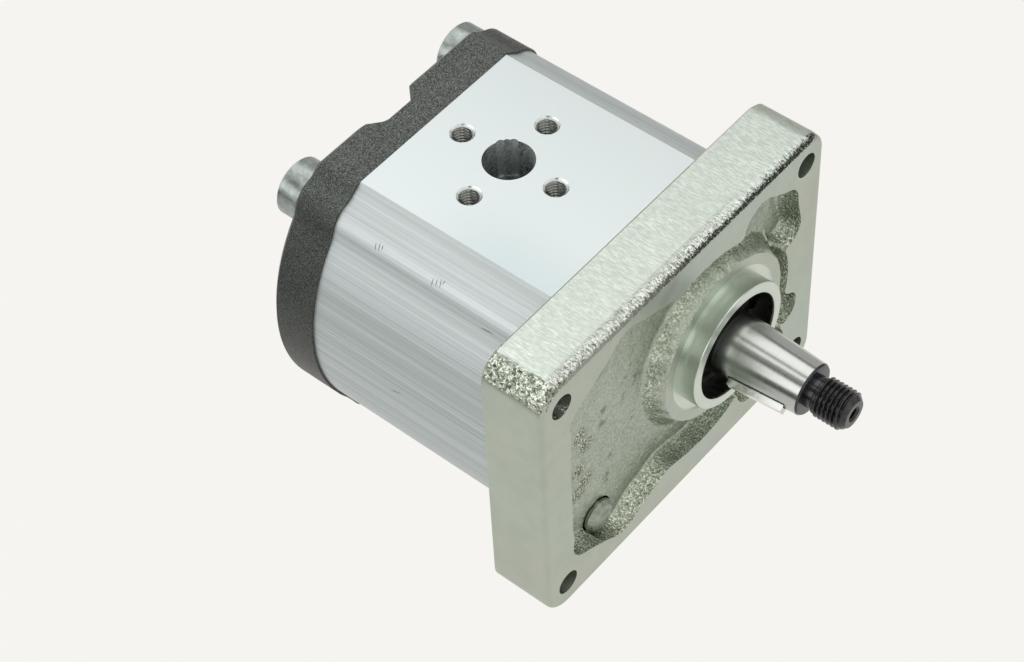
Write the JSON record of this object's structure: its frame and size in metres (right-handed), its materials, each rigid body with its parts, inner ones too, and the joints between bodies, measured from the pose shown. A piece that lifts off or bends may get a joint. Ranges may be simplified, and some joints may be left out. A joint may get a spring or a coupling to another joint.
{
  "type": "hydraulic gear pump",
  "caption": "External hydraulic gear pump with a rectangular flange, pilot ring, keyed taper drive shaft, extruded body with flanged ports, and a bolted rear cover.",
  "frame": {"origin": "centre of the pilot ring on the plane of the flange face", "axes": "+X out along the drive shaft, +Z out of the pressure port's face, driven gear on the -Y side"},
  "size_m": [0.1396, 0.111, 0.0886],
  "materials": {
    "zinc_plated_iron": "satin zinc plate",
    "extruded_aluminium": "satin, drawn along its length",
    "phosphated_iron": "dark phosphate, cast grain",
    "ground_steel": "ground",
    "key_steel": "drawn",
    "gear_steel": "ground",
    "bearing_alloy": "machined",
    "bush_bronze": "bronze-backed lining",
    "seal_rubber": "smooth",
    "spring_steel": "oiled",
    "backup_plastic": "smooth",
    "zinc_plated_steel": "zinc plate",
    "dowel_steel": "ground"
  },
  "bodies": {
    "housing": {"front_cover": "zinc_plated_iron", "pump_body": "extruded_aluminium", "rear_cover": "phosphated_iron", "front_bearing_block": "bearing_alloy", "rear_bearing_block": "bearing_alloy", "front_drive_bush": "bush_bronze", "front_driven_bush": "bush_bronze", "rear_drive_bush": "bush_bronze", "rear_driven_bush": "bush_bronze", "shaft_seal_case": "seal_rubber", "shaft_seal_lip": "seal_rubber", "seal_garter_spring": "spring_steel", "seal_retaining_ring": "spring_steel", "front_body_seal": "seal_rubber", "rear_body_seal": "seal_rubber", "front_pressure_seal": "seal_rubber", "rear_pressure_seal": "seal_rubber", "front_backup_ring": "backup_plastic", "rear_backup_ring": "backup_plastic", "cover_screws": "zinc_plated_steel", "front_dowels": "dowel_steel", "rear_dowels": "dowel_steel"},
    "drive_shaft": {"drive_gear_shaft": "ground_steel", "shaft_key": "key_steel"},
    "driven_shaft": {"driven_gear_shaft": "gear_steel"}
  },
  "joints": [
    {"name": "drive_spin", "type": "hinge", "parent": "housing", "child": "drive_shaft", "pos_m": [0, 0, 0], "axis": [1, 0, 0], "continuous": true},
    {"name": "driven_spin", "type": "hinge", "parent": "housing", "child": "driven_shaft", "pos_m": [0, -0.031, 0], "axis": [1, 0, 0], "continuous": true}
  ],
  "couplings": [
    {"joint": "driven_spin", "follows": "drive_spin", "ratio": -1}
  ]
}
